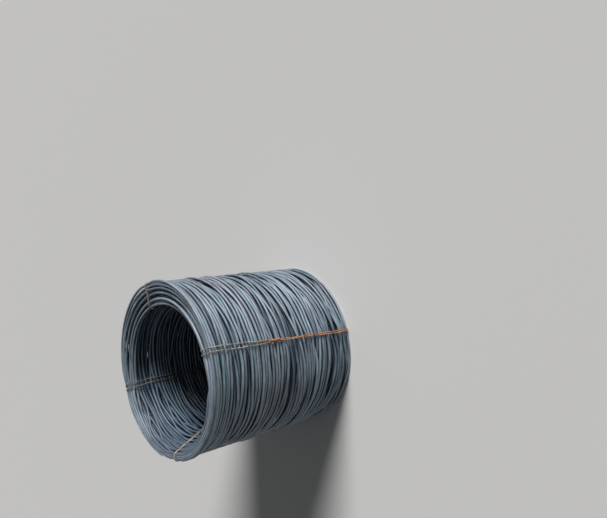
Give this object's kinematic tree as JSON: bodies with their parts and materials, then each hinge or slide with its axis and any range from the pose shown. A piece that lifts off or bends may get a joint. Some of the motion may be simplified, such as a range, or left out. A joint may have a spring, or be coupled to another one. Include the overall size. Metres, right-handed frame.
{
  "type": "wire rod coil",
  "caption": "Coil of hot-rolled steel wire rod standing on its end, bound with wire ties, with an open eye for a lifting arm.",
  "frame": {"origin": "middle of the coil's eye, on its axis", "axes": "+Z along the eye, out of the front end; angles round the coil run anticlockwise from +X, seen from above"},
  "size_m": [1.25, 1.2544, 1.2453],
  "materials": {
    "rod_steel": "hot-rolled, blue-grey mill scale with a little rust",
    "tie_wire": "annealed wire, rusted"
  },
  "bodies": {
    "root": {"rod_coil": "rod_steel", "tie_right": "tie_wire", "tie_top": "tie_wire", "tie_left": "tie_wire", "tie_bottom": "tie_wire"}
  },
  "joints": []
}
